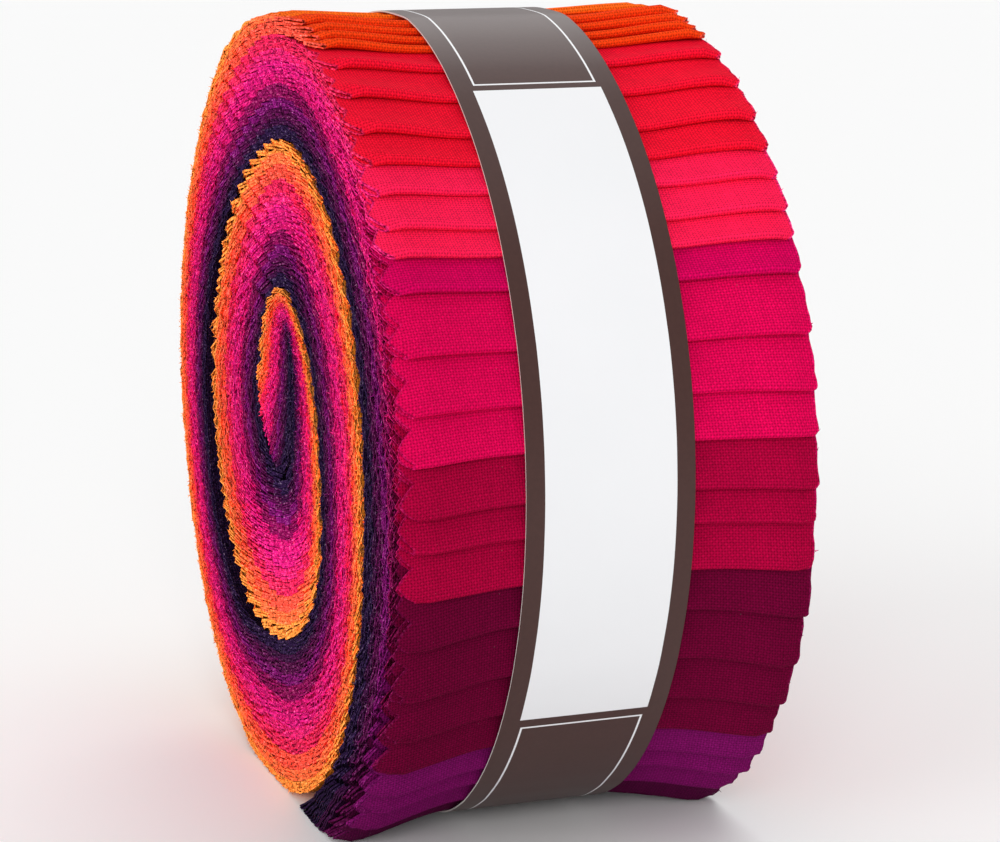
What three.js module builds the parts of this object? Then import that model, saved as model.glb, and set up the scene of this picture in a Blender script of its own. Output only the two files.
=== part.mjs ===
// A roll of pre-cut quilting strips, standing on its rim, with a paper band round its middle.
// Forty cotton strips, each folded once across its middle, are wound together as one pile. The pile turns
// a little over two times. The folded ends step back one by one, so that they lap like shingles down the
// front of the roll.
//
// Millimetres. X is the axis that the roll is wound round, the steps face -Y and Z is up.
// The origin is at the middle of the flat spot that the roll rests on.
//
// A winding angle is counted in degrees from the front of the roll, over the top: 0 front, 90 top, 180 back,
// 270 bottom, 360 front again, one turn further in.

import * as THREE from "three";

// Sizes of the roll
const STRIP_WIDTH = 63.5;
const CENTRE_HEIGHT = 60.0;
const STRIP_COUNT = 40;
const TURN = 360;
const TURN_GAP = 0.5;
const WINDING_STEP = 6;
const CORE_END = 990;

// A folded end fills this share of its step, and a step wider than this angle has a point halfway too.
const FOLD_SHARE = 0.9;
const WIDE_STEP = 3;
const HALF_STEP = 0.5;

// Sizes of the band
const BAND_WIDTH = 25.6;
const BAND_THICKNESS = 1.0;
const BAND_CLEARANCE = 0.3;
const BAND_SIDES = 80;

// The band draws the middle of the roll in by this share of its radius.
const WAIST_SHARE = 0.035;

// The waist begins at this distance from the middle, and is deepest from just outside the band inwards.
const SHOULDER_AT = 24;
const WAIST_AT = BAND_WIDTH / 2 + 0.6;

// Where the roll is drawn in: its full size at both ends, the waist under the band.
const STATIONS = [
  { x: -STRIP_WIDTH / 2, waist: 0 },
  { x: -SHOULDER_AT, waist: 0 },
  { x: -WAIST_AT, waist: 1 },
  { x: WAIST_AT, waist: 1 },
  { x: SHOULDER_AT, waist: 0 },
  { x: STRIP_WIDTH / 2, waist: 0 },
];

// Winding angles of the folded ends, from the outermost strip in, in the groups of one colour.
const FOLDS = [
  { cloth: "amber", angles: [118, 114, 110, 106, 102] },
  { cloth: "tangerine", angles: [97, 92, 87] },
  { cloth: "orange", angles: [79, 75.5, 72.3, 69.2] },
  { cloth: "red", angles: [63.8, 56.9, 50, 44.9] },
  { cloth: "coral", angles: [40.3, 35.2, 31.3] },
  { cloth: "magenta", angles: [26.7] },
  { cloth: "cerise", angles: [18.8, 11.8, 5.8] },
  { cloth: "crimson", angles: [-0.6, -5.1, -11.5] },
  { cloth: "wine", angles: [-17.5, -25.3, -32.4, -39.2] },
  { cloth: "purple", angles: [-44.8, -49.5, -55.9] },
  { cloth: "plum", angles: [-63.5] },
  { cloth: "aubergine", angles: [-67.5, -71.5] },
  { cloth: "navy", angles: [-74.2, -76.2, -78, -79.6] },
];

// Radius of the stepped front, halfway up its steps.
const FRONT = [
  { angle: -82, radius: 60.9 },
  { angle: -70, radius: 63.6 },
  { angle: -50, radius: 64.7 },
  { angle: 0, radius: 64.8 },
  { angle: 45, radius: 64.6 },
  { angle: 90, radius: 64.0 },
  { angle: 120, radius: 63.4 },
];

// Radius of the pile's outer face, from the top inwards to the core.
const OUTER_FACE = [
  { angle: 90, radius: 63.9 },
  { angle: 135, radius: 63.0 },
  { angle: 180, radius: 65.2 },
  { angle: 210, radius: 65.4 },
  { angle: 240, radius: 63.6 },
  { angle: 270, radius: 60.0 },
  { angle: 300, radius: 55.6 },
  { angle: 330, radius: 50.4 },
  { angle: 360, radius: 47.0 },
  { angle: 405, radius: 48.0 },
  { angle: 435, radius: 46.6 },
  { angle: 465, radius: 41.8 },
  { angle: 500, radius: 38.9 },
  { angle: 540, radius: 40.0 },
  { angle: 585, radius: 38.9 },
  { angle: 630, radius: 34.5 },
  { angle: 675, radius: 30.6 },
  { angle: 705, radius: 25.6 },
  { angle: 735, radius: 23.4 },
  { angle: 790, radius: 23.2 },
  { angle: 830, radius: 16.4 },
  { angle: 850, radius: 12.2 },
  { angle: 885, radius: 10.9 },
  { angle: 915, radius: 8.8 },
  { angle: 947, radius: 7.0 },
  { angle: 990, radius: 7.2 },
];

// Width of the open gap between the first turn and the second, at the back.
const LOOSE_GAP = [
  { angle: 100, radius: 0 },
  { angle: 116, radius: 0.3 },
  { angle: 140, radius: 2.6 },
  { angle: 172, radius: 6.0 },
  { angle: 206, radius: 7.6 },
  { angle: 232, radius: 5.6 },
  { angle: 252, radius: 1.4 },
  { angle: 264, radius: 0 },
];

// The pile's inner face in the core, where it turns back on itself round a narrow slit.
const CORE = [
  { angle: 630, behind: 0, above: -7.9 },
  { angle: 650, behind: -2.6, above: -8.6 },
  { angle: 672, behind: -5.4, above: -7.4 },
  { angle: 695, behind: -7.8, above: -3.5 },
  { angle: 720, behind: -9.4, above: 1.0 },
  { angle: 750, behind: -10.3, above: 7.0 },
  { angle: 780, behind: -10.7, above: 12.0 },
  { angle: 800, behind: -10.6, above: 15.0 },
  { angle: 812, behind: -10.0, above: 16.0 },
  { angle: 824, behind: -9.5, above: 15.0 },
  { angle: 850, behind: -9.5, above: 11.0 },
  { angle: 880, behind: -9.2, above: 6.0 },
  { angle: 905, behind: -8.4, above: 1.0 },
  { angle: 930, behind: -6.8, above: -3.2 },
  { angle: 960, behind: -4.6, above: -6.2 },
  { angle: 990, behind: -2.6, above: -7.6 },
];

const CLOTH = new THREE.MeshStandardMaterial({
  color: 0xc3154f,
  roughness: 0.9,
  metalness: 0,
});
const PAPER = new THREE.MeshStandardMaterial({
  color: 0x4a3a36,
  roughness: 0.6,
  metalness: 0,
});

// A value read from a column of a table, on a smooth curve through its rows that doesn't overshoot.
function valueAt(table, column, angle) {
  const last = table.length - 1;
  if (angle <= table[0].angle) return table[0][column];
  if (angle >= table[last].angle) return table[last][column];
  let row = 0;
  while (table[row + 1].angle < angle) row += 1;
  const from = table[row];
  const to = table[row + 1];
  const span = to.angle - from.angle;
  const part = (angle - from.angle) / span;
  const startSlope = slopeAt(table, column, row) * span;
  const endSlope = slopeAt(table, column, row + 1) * span;
  const cubed = part ** 3;
  const squared = part ** 2;
  return (
    (2 * cubed - 3 * squared + 1) * from[column] +
    (cubed - 2 * squared + part) * startSlope +
    (3 * squared - 2 * cubed) * to[column] +
    (cubed - squared) * endSlope
  );
}

// The slope at a row: level at a peak or a dip, otherwise the harmonic mean of its two neighbours' slopes.
function slopeAt(table, column, row) {
  if (row === 0 || row === table.length - 1) return 0;
  const before = table[row - 1];
  const here = table[row];
  const after = table[row + 1];
  const slopeIn = (here[column] - before[column]) / (here.angle - before.angle);
  const slopeOut = (after[column] - here[column]) / (after.angle - here.angle);
  if (slopeIn * slopeOut <= 0) return 0;
  return (2 * slopeIn * slopeOut) / (slopeIn + slopeOut);
}

function foldAngles() {
  return FOLDS.flatMap((group) => group.angles);
}

// Radius of the pile's inner face outside the core, where it lies on the turn below, apart from the loose gap.
function innerRadius(angle) {
  const below = valueAt(OUTER_FACE, "radius", angle + TURN);
  return below + TURN_GAP + valueAt(LOOSE_GAP, "radius", angle);
}

// How many strips lie in the pile at an angle on the stepped front, counted smoothly.
function smoothCount(angle) {
  const folds = foldAngles();
  const last = folds.length - 1;
  if (angle >= folds[0]) return STRIP_COUNT;
  for (let strip = 1; strip <= last; strip += 1) {
    if (angle >= folds[strip]) {
      const part = (angle - folds[strip]) / (folds[strip - 1] - folds[strip]);
      return STRIP_COUNT - strip - HALF_STEP + part;
    }
  }
  return HALF_STEP;
}

// Thickness that one folded strip takes up in the stepped front.
function stepHeight(angle) {
  const pile = valueAt(FRONT, "radius", angle) - innerRadius(angle);
  return pile / smoothCount(angle);
}

// A point of the section, as the distance behind the axis and the height above the surface.
// Nothing reaches below the flat spot.
function sectionPoint(angle, radius) {
  const turned = THREE.MathUtils.degToRad(angle);
  const behind = -radius * Math.cos(turned);
  const above = Math.max(radius * Math.sin(turned), -CENTRE_HEIGHT);
  return new THREE.Vector2(behind, above);
}

// The stepped front, from the innermost strip's folded end up to the outermost one.
function steppedFront() {
  const points = [];
  const folds = foldAngles();
  for (let strip = folds.length - 1; strip >= 0; strip -= 1) {
    const fold = folds[strip];
    const height = stepHeight(fold);
    const inside = STRIP_COUNT - 1 - strip;
    const foot = innerRadius(fold) + inside * height;
    points.push(sectionPoint(fold, foot));
    points.push(sectionPoint(fold, foot + FOLD_SHARE * height));
    const next = strip > 0 ? folds[strip - 1] : fold;
    if (next - fold > WIDE_STEP) {
      const middle = (fold + next) / 2;
      const rise = (inside + 1) * stepHeight(middle);
      points.push(sectionPoint(middle, innerRadius(middle) + rise));
    }
  }
  return points;
}

// A point of the pile's inner face.
function innerPoint(angle) {
  if (angle + TURN <= CORE_END) return sectionPoint(angle, innerRadius(angle));
  return new THREE.Vector2(valueAt(CORE, "behind", angle), valueAt(CORE, "above", angle));
}

// The section of the wound pile as one closed outline.
function woundSection() {
  const outline = steppedFront();
  const firstFold = foldAngles()[0];
  for (let angle = firstFold + WINDING_STEP; angle <= CORE_END; angle += WINDING_STEP) {
    outline.push(sectionPoint(angle, valueAt(OUTER_FACE, "radius", angle)));
  }
  for (let angle = CORE_END; angle > foldAngles()[STRIP_COUNT - 1]; angle -= WINDING_STEP) {
    outline.push(innerPoint(angle));
  }
  return outline;
}

// The roll: its section drawn along the axis, and drawn in under the band.
function makeRoll() {
  const steps = STATIONS.length - 1;
  const geometry = new THREE.ExtrudeGeometry(new THREE.Shape(woundSection()), {
    depth: steps,
    steps,
    bevelEnabled: false,
  });
  const position = geometry.getAttribute("position");
  for (let index = 0; index < position.count; index += 1) {
    const station = STATIONS[Math.round(position.getZ(index))];
    const share = 1 - WAIST_SHARE * station.waist;
    position.setXYZ(
      index,
      station.x,
      position.getX(index) * share,
      position.getY(index) * share,
    );
  }
  return named("roll", geometry, CLOTH);
}

// How far the waist reaches from the axis in a direction.
function waistReach(section, direction) {
  const reaches = section.map((point) => point.dot(direction));
  return Math.max(...reaches) * (1 - WAIST_SHARE);
}

// A taut outline round the waist, a set distance outside it: its sides touch the widest points only.
function tautOutline(distance) {
  const section = woundSection();
  const sideAngle = (2 * Math.PI) / BAND_SIDES;
  const sides = [];
  for (let side = 0; side < BAND_SIDES; side += 1) {
    const turned = side * sideAngle;
    const direction = new THREE.Vector2(Math.cos(turned), Math.sin(turned));
    sides.push({ direction, reach: waistReach(section, direction) + distance });
  }
  return sides.map((side, index) => {
    const next = sides[(index + 1) % BAND_SIDES];
    const along = (next.reach - side.reach * Math.cos(sideAngle)) / Math.sin(sideAngle);
    return new THREE.Vector2(
      side.reach * side.direction.x - along * side.direction.y,
      side.reach * side.direction.y + along * side.direction.x,
    );
  });
}

// The paper band: a closed hoop round the waist.
function makeBand() {
  const hoop = new THREE.Shape(tautOutline(BAND_CLEARANCE + BAND_THICKNESS));
  hoop.holes.push(new THREE.Path(tautOutline(BAND_CLEARANCE)));
  const geometry = new THREE.ExtrudeGeometry(hoop, {
    depth: BAND_WIDTH,
    bevelEnabled: false,
  });
  geometry.translate(0, 0, -BAND_WIDTH / 2);
  const position = geometry.getAttribute("position");
  for (let index = 0; index < position.count; index += 1) {
    position.setXYZ(
      index,
      position.getZ(index),
      position.getX(index),
      position.getY(index),
    );
  }
  return named("band", geometry, PAPER);
}

function named(name, geometry, material) {
  geometry.deleteAttribute("normal");
  geometry.deleteAttribute("uv");
  geometry.computeVertexNormals();
  const mesh = new THREE.Mesh(geometry, material);
  mesh.name = name;
  mesh.position.z = CENTRE_HEIGHT;
  return mesh;
}

const part = new THREE.Group();
part.add(makeRoll(), makeBand());

export default part;
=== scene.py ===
import math

import bpy
import numpy as np
from mathutils import Matrix, Vector


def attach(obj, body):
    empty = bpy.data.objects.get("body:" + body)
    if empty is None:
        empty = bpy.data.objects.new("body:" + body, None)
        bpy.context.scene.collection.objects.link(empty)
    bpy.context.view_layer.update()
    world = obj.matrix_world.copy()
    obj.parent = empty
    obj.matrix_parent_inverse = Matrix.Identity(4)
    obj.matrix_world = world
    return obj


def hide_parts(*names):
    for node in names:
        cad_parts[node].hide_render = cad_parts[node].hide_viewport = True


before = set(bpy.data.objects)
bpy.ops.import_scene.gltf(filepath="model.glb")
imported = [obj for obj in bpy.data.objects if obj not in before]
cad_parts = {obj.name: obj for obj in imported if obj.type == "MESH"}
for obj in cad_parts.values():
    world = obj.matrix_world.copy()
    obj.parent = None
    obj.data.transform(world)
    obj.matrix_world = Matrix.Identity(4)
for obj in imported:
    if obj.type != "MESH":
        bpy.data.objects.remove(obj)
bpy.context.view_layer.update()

MM = 0.001
SEED = 20
rng = np.random.default_rng(SEED)


def table(columns, *rows):
    """A short table with named columns."""
    return dict(zip(columns.split(), np.array(rows, float).T))


# Sizes of a strip, in millimetres
STRIP_WIDTH = 63.5
STRIP_COUNT = 40
TOOTH_PITCH = 4.76
TOOTH_DEPTH = 2.2
CLOTH_THICKNESS = 0.32
THICKEST_SHARE = 0.49
THREAD_PITCH = 0.43
HALF_WIDTH = STRIP_WIDTH / 2

# The cloths, from the outermost in: their dye as 0 to 255, and the colour of their frayed edges. The edge
# colour is paler and brighter than the dye partly because frayed cotton is paler, and partly as painted light
# that makes up for the shade the edges lie in between the layers.
CLOTH_COLOURS = {
    "amber": {"dye": (250, 140, 40), "fluff_with_painted_light": (252, 150, 64)},
    "tangerine": {"dye": (246, 104, 24), "fluff_with_painted_light": (252, 116, 66)},
    "orange": {"dye": (238, 66, 18), "fluff_with_painted_light": (246, 88, 68)},
    "red": {"dye": (236, 18, 48), "fluff_with_painted_light": (228, 38, 90)},
    "coral": {"dye": (250, 30, 80), "fluff_with_painted_light": (232, 38, 118)},
    "magenta": {"dye": (204, 2, 84), "fluff_with_painted_light": (220, 28, 124)},
    "cerise": {"dye": (214, 4, 78), "fluff_with_painted_light": (218, 26, 122)},
    "crimson": {"dye": (164, 2, 54), "fluff_with_painted_light": (208, 22, 112)},
    "wine": {"dye": (100, 2, 44), "fluff_with_painted_light": (140, 14, 86)},
    "purple": {"dye": (116, 13, 88), "fluff_with_painted_light": (124, 18, 104)},
    "plum": {"dye": (84, 8, 58), "fluff_with_painted_light": (92, 16, 74)},
    "aubergine": {"dye": (52, 10, 52), "fluff_with_painted_light": (66, 18, 64)},
    "navy": {"dye": (30, 12, 40), "fluff_with_painted_light": (44, 24, 62)},
}

# The winding angle of each strip's folded end, cloth by cloth in the same order. A winding angle is counted
# in degrees from the front of the roll, over the top: 0 front, 90 top, 180 back, 270 bottom, 360 front again,
# one turn further in.
FOLDS = {
    "amber": [114, 108, 102],
    "tangerine": [97, 92, 86.5],
    "orange": [79, 75.5, 72.3, 69.2],
    "red": [63.8, 56.9, 50, 44.9],
    "coral": [40.3, 35.2, 31.3],
    "magenta": [26.7],
    "cerise": [18.8, 11.8, 5.8],
    "crimson": [-0.6, -5.1, -11.5],
    "wine": [-17.5, -25.3, -32.4, -39.2],
    "purple": [-44.8, -49.5, -55.9],
    "plum": [-63.5, -66, -68.4],
    "aubergine": [-70.6, -72.6],
    "navy": [-74.4, -76.2, -78, -79.6],
}

# Winding angles between which the strips' cut ends lie in the core, from the outermost strip's to the
# innermost's, with the strip's number counted from the outside
CUT_ENDS = table(
    "strip angle",
    (0, 866),
    (4, 878),
    (7, 887),
    (11, 899),
    (15, 913),
    (19, 930),
    (25, 950),
    (32, 969),
    (39, 989),
)

# The winding, in millimetres
CENTRE_HEIGHT = 60.0
TURN = 360.0
TURN_GAP = 0.5
CORE_FROM = 630.0

# Radius of the stepped front, halfway up its steps
FRONT = table(
    "angle radius",
    (-82, 60.9),
    (-70, 63.6),
    (-50, 64.7),
    (0, 64.8),
    (45, 64.6),
    (90, 64.0),
    (120, 63.4),
)

# Radius of the pile's outer face, from the top inwards to the core
OUTER_FACE = table(
    "angle radius",
    (90, 63.9),
    (135, 63.0),
    (180, 65.2),
    (210, 65.4),
    (240, 63.6),
    (270, 60.0),
    (300, 55.6),
    (330, 50.4),
    (360, 47.0),
    (405, 48.0),
    (435, 46.6),
    (465, 41.8),
    (500, 38.9),
    (540, 40.0),
    (585, 38.9),
    (630, 34.5),
    (675, 30.6),
    (705, 25.6),
    (735, 23.4),
    (790, 23.2),
    (830, 16.4),
    (850, 12.2),
    (885, 10.9),
    (915, 8.8),
    (947, 7.0),
    (990, 7.2),
)

# Width of the open gap between the first turn and the second, at the back
LOOSE_GAP = table(
    "angle width",
    (100, 0),
    (116, 0.3),
    (140, 2.6),
    (172, 6.0),
    (206, 7.6),
    (232, 5.6),
    (252, 1.4),
    (264, 0),
)

# The pile's inner face in the core, where it turns back on itself round a narrow slit
CORE = table(
    "angle behind above",
    (630, 0, -7.9),
    (650, -2.6, -8.6),
    (672, -5.4, -7.4),
    (695, -7.8, -3.5),
    (720, -9.4, 1.0),
    (750, -10.3, 7.0),
    (780, -10.7, 12.0),
    (800, -10.6, 15.0),
    (812, -10.0, 16.0),
    (824, -9.5, 15.0),
    (850, -9.5, 11.0),
    (880, -9.2, 6.0),
    (905, -8.4, 1.0),
    (930, -6.8, -3.2),
    (960, -4.6, -6.2),
    (990, -2.6, -7.6),
)

# Where the teeth of neighbouring layers line up into ribs on the end faces, how many degrees each way, by how
# much of a tooth each layer's teeth lie ahead of those of the layer below, and how clear of fray they are
RIBS = table(
    "angle reach slant crispness",
    (98, 24, -0.07, 0.3),
    (448, 30, -0.09, 0.3),
    (630, 50, -0.02, 0.6),
)

# The band draws the middle of the roll in by this share of its radius
WAIST = table(
    "angle share",
    (-90, 0.024),
    (50, 0.024),
    (80, 0.008),
    (110, 0.006),
    (150, 0.02),
    (990, 0.024),
)
WAIST_EDGE = 12.0
WAIST_ENDS = 28.5

# Columns of points across a strip, from its middle out: where it shows, where it is hidden close under the
# outside, and where it is deep in the pile. The columns at the pinked edge follow it in and out.
SHOWN_COLUMNS = [5.0, 13.2, 15.6, 18.5, 21.5, 24.5, 27.0, 28.8]
NEAR_COLUMNS = [13.2, 28.8]
DEEP_COLUMNS = [28.8]
MEASURED_COLUMN = 24.5
EDGE_STRIP = 0.4
EDGE_CLEARANCE = 0.3
EDGE_STRIP_CLEARANCE = 0.05
SHOWN_LENGTH = 40.0
SHOWN_INSIDE = 7.0
NEAR_LENGTH = 75.0
WHOLE_TURN = 410.0

# The outermost strips, which lie close under the outside, or are it, for a whole turn
OUTSIDE_STRIPS = 5

# The folded end: the loop's height at the free ends and under the band, how far it reaches, and its corners.
# It is pinched flat towards the cut edges, and over the top of the roll it is pressed flatter.
LOOP_FREE = 1.8
LOOP_HELD = 1.0
LOOP_REACH = (1.5, 5.0)
LOOP_SHARE = 0.45
PINCH_LENGTH = 2.4
PINCHED_SHARE = 0.3
TOP_FOLDS_FROM = 84
TOP_LOOP = 0.55
CORNER_RADIUS = 1.0
LOW_CORNER_RADIUS = 2.4
FOLD_ROWS = [0.0, 0.03, 0.11, 0.24, 0.42, 0.66, 1.0, 1.5]
FOLD_ROWS_GAP = 0.3
NOSE_SHARE = 0.6
FOLD_FADE = 14
SAG_POWER = 2.4
ROLL_RADIUS = 65

# The pinking is nearly even within these lengths of the folds on the right and of the lowest folds on the
# left, and on the outside at the back, down to where the rim shows
ENDS_EVEN = (7.5, 12.0)
LOW_EVEN = (14.0, 24.0)
LOW_STRIPS = 34
RIM_STRIPS = 6
EVEN_DEPTH = 0.12
RIM_SHOWS = (265, 300)

# From the bottom of the first turn on, the outer strips stand out of the left end face, and the tips of the
# outermost ones curl away from the pile
RIM_STANDS_OUT = 0.3
TIP_CURL = 0.55
CURLED_STRIPS = 2
CURLED_FROM = (288, 325)
CURLED_CRISPNESS = 0.45

# The "fray" attribute is 0 on sound cloth, and 1 to 2 on a cut edge from its notches to its tips. From this
# strip in, the edges of the dark cloths are hardly paler than the cloth near the folds.
DARK_EDGES_FROM = 17
DARK_EDGE = 0.3


def smooth(rows, column, angle):
    """A column of a table read on a smooth curve through its rows that doesn't overshoot."""
    at, value = rows["angle"], rows[column]
    angle = np.clip(angle, at[0], at[-1])
    steep = np.diff(value) / np.diff(at)
    slope = np.zeros(len(at))
    same_way = steep[:-1] * steep[1:] > 0
    total = np.where(same_way, steep[:-1] + steep[1:], 1)
    slope[1:-1] = np.where(same_way, 2 * steep[:-1] * steep[1:] / total, 0)
    row = np.clip(np.searchsorted(at, angle, side="right") - 1, 0, len(at) - 2)
    span = at[row + 1] - at[row]
    part = (angle - at[row]) / span
    return (
        (2 * part**3 - 3 * part**2 + 1) * value[row]
        + (part**3 - 2 * part**2 + part) * span * slope[row]
        + (3 * part**2 - 2 * part**3) * value[row + 1]
        + (part**3 - part**2) * span * slope[row + 1]
    )


def section_point(angle, radius):
    """Distance behind the axis and height above it."""
    turned = np.radians(angle)
    return np.stack([-radius * np.cos(turned), radius * np.sin(turned)], axis=-1)


FOLD_ANGLES = np.array([angle for folds in FOLDS.values() for angle in folds], float)
END_ANGLES = np.interp(np.arange(STRIP_COUNT), CUT_ENDS["strip"], CUT_ENDS["angle"])
CLOTH_OF = [cloth for cloth, folds in FOLDS.items() for _ in folds]

# Between these angles the stepped front runs over into the pile's outer face
TOP_FROM = 105.0
TOP_TO = 130.0

# The pile is full from this far past the first fold to this far before the first cut end
FULL_AFTER_FOLD = 5
FULL_BEFORE_END = 8


def outer_face(angle):
    """Points of the pile's outer face, the stepped front included."""
    front = smooth(FRONT, "radius", angle)
    back = smooth(OUTER_FACE, "radius", angle)
    share = np.clip((angle - TOP_FROM) / (TOP_TO - TOP_FROM), 0, 1)
    return section_point(angle, front + (back - front) * share)


def inner_face(angle):
    """Points of the pile's inner face, against the next turn or round the core's slit."""
    below = smooth(OUTER_FACE, "radius", angle + TURN)
    around = section_point(angle, below + TURN_GAP + smooth(LOOSE_GAP, "width", angle))
    core = np.stack([smooth(CORE, "behind", angle), smooth(CORE, "above", angle)], axis=-1)
    return np.where((angle > CORE_FROM)[:, None], core, around)


def strips_at(angle):
    """How many strips lie in the pile at an angle, counted smoothly."""
    steps = STRIP_COUNT - 0.5 - np.arange(STRIP_COUNT)
    full = [FOLD_ANGLES[0] + FULL_AFTER_FOLD, END_ANGLES[0] - FULL_BEFORE_END]
    at = np.concatenate([FOLD_ANGLES[::-1], full, END_ANGLES])
    count = np.concatenate([steps[::-1], [STRIP_COUNT, STRIP_COUNT], steps])
    return np.interp(angle, at, count)


def waist(x):
    """1 under the band, falling smoothly to 0 towards both ends."""
    share = np.clip((np.abs(x) - WAIST_EDGE) / (WAIST_ENDS - WAIST_EDGE), 0, 1)
    return 0.5 + 0.5 * np.cos(math.pi * share)


def free_end(x):
    """0 at the band, rising to 1 at a strip's free ends."""
    return np.clip((np.abs(x) - WAIST_EDGE) / (HALF_WIDTH - WAIST_EDGE), 0, 1)


# Nothing reaches below the floor: whatever lies lower than the first of these heights, measured from the
# axis, is pressed smoothly towards the second and stops at the floor
PRESS_FROM = -59.4
PRESS_TO = -60.2


def pressed(height):
    """A height above the axis, pressed smoothly against the floor."""
    below = np.maximum(PRESS_FROM - height, 0)
    depth = PRESS_FROM - PRESS_TO
    soft = PRESS_TO + depth / (1 + below / depth)
    return np.maximum(np.where(height < PRESS_FROM, soft, height), -CENTRE_HEIGHT)


def rise(value, low, high):
    """0 up to low, 1 from high on, and a smooth rise between them."""
    share = np.clip((value - low) / (high - low), 0, 1)
    return share * share * (3 - 2 * share)


# What makes every strip a little different: where its teeth begin, as a share of a tooth, and in millimetres
# how far its fold sags and stands out at the free ends, more so in the low folds, and how wavy it is
FOLD_PHASE = (-0.05, 0.06)
RIB_WALK = 0.02
SAG, LOW_SAG = (0.4, 1.0), 0.8
FLARE, LOW_FLARE = (0.4, 0.9), 0.7
FOLD_WAVE = 0.08
WAVE_AT = [-31, -26, -20, -13, 0, 13, 20, 26, 31]
LOW_FROM = -15
LOW_FOLDS = (FOLD_ANGLES < LOW_FROM).astype(float)[:, None]
fold_phase = rng.normal(*FOLD_PHASE, STRIP_COUNT)
right_phase = rng.uniform(0, 1, STRIP_COUNT)
rib_walk = np.cumsum(rng.normal(0, RIB_WALK, STRIP_COUNT))
sag_size = rng.uniform(*SAG, (STRIP_COUNT, 2)) + LOW_SAG * LOW_FOLDS
flare_size = rng.uniform(*FLARE, (STRIP_COUNT, 2)) + LOW_FLARE * LOW_FOLDS
fold_wave = rng.normal(0, FOLD_WAVE, (STRIP_COUNT, len(WAVE_AT)))

# How much of a tooth a layer wanders between the ribs and in them, how often, and how far past a fold the
# ribs and their shifts begin, in degrees
WANDER = 0.32
WANDER_EVERY = 26.0
RIB_WANDER = 0.03
RIB_FROM_FOLD = 8
SHIFT_FROM_FOLD = 4

# The steps in which a layer's path is followed, in degrees, and the rows of points to a tooth
ANGLE_STEP = 0.25
ROWS_PER_TOOTH = 4

# A strip's two layers lie this far to either side of its middle, as a share of its depth in the pile
LAYER_OFFSET = 0.25
TOOTH_ROUNDING = 0.12

# How far an edge runs in and out along the strip, over what length, how ragged it is, and how much of the
# pinking the fray leaves and fills from behind
EDGE_WANDER = 0.04
EDGE_WANDER_LENGTH = 38.0
RAGGED = 0.03
FLUFFY_RAGGED = 0.08
FLUFFY_DEPTH = 0.2
FILLED_BACK = 0.15
FLUFFY_FROM = (2.0, 8.0)
DARK_FLUFFY_FROM = (14.0, 34.0)
RIB_INSIDE, RIB_OUTSIDE = 0.7, 1.3
RIM_HIDDEN = (90, 105)
EDGE_LIFT = 0.05


def tooth(turns):
    """Height of the pinked edge, a little rounded: 0 in a notch and 1 at a tip."""
    slope = 1 - np.abs(2 * (turns % 1) - 1)
    return slope + TOOTH_ROUNDING * np.sin(math.pi * slope)


def layer_rows(strip, side):
    """Where the rows of points lie along one layer of a folded strip, from its fold to its cut end.
    side is 1 for the outer layer and -1 for the inner one."""
    angle = np.arange(FOLD_ANGLES[strip], END_ANGLES[strip], ANGLE_STEP)
    inner = inner_face(angle)
    level = (STRIP_COUNT - 0.5 - strip + LAYER_OFFSET * side) / strips_at(angle)
    line = inner + (outer_face(angle) - inner) * level[:, None]
    length = np.concatenate([[0], np.cumsum(np.linalg.norm(np.diff(line, axis=0), axis=1))])
    teeth = length / TOOTH_PITCH + side * fold_phase[strip]
    layer = 2 * (STRIP_COUNT - strip) + side
    shift = 0.0
    at, shifts = [angle[0]], [0.0]
    for rib_angle, reach, slant in zip(RIBS["angle"], RIBS["reach"], RIBS["slant"]):
        wanted = slant * layer + rib_walk[strip] + rng.normal(0, RIB_WANDER)
        if angle[0] + RIB_FROM_FOLD < rib_angle < angle[-1]:
            found = np.interp(rib_angle, angle, teeth) + shift
            before = shift
            shift += (wanted - found + 0.5) % 1 - 0.5
            begin = max(rib_angle - reach, angle[0] + SHIFT_FROM_FOLD)
            loose = np.arange(at[-1] + WANDER_EVERY, begin - WANDER_EVERY / 2, WANDER_EVERY)
            between = np.interp(loose, [at[-1], begin], [before, shift])
            at += [*loose, begin, rib_angle + reach]
            shifts += [*(between + rng.normal(0, WANDER, len(loose))), shift, shift]
    teeth = teeth + np.interp(angle, at, shifts)
    first, last = math.ceil(teeth[0] * ROWS_PER_TOOTH), math.floor(teeth[-1] * ROWS_PER_TOOTH)
    quarters = np.arange(first, last + 1)
    row_length = np.interp(quarters / ROWS_PER_TOOTH, teeth, length)
    fine = (row_length < NEAR_LENGTH) | (strip < CURLED_STRIPS) | (quarters % 2 == 0)
    row_length = row_length[fine & (row_length > FOLD_ROWS[-1] + FOLD_ROWS_GAP)]
    row_length = np.concatenate([FOLD_ROWS, row_length])
    shown = SHOWN_LENGTH if side > 0 else SHOWN_INSIDE
    shown = WHOLE_TURN if strip == 0 and side > 0 else shown
    near = WHOLE_TURN if strip < OUTSIDE_STRIPS else NEAR_LENGTH
    return {
        "angle": np.interp(row_length, length, angle),
        "length": row_length,
        "teeth": np.interp(row_length, length, teeth),
        "side": np.full(len(row_length), side),
        "detail": (row_length < shown).astype(int) + (row_length < near),
    }


def strip_rows(strip):
    """The rows of a whole strip: its outer layer back to the fold, then its inner layer."""
    outer, inner = layer_rows(strip, 1), layer_rows(strip, -1)
    return {name: np.concatenate([outer[name][::-1], inner[name][1:]]) for name in outer}


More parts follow.
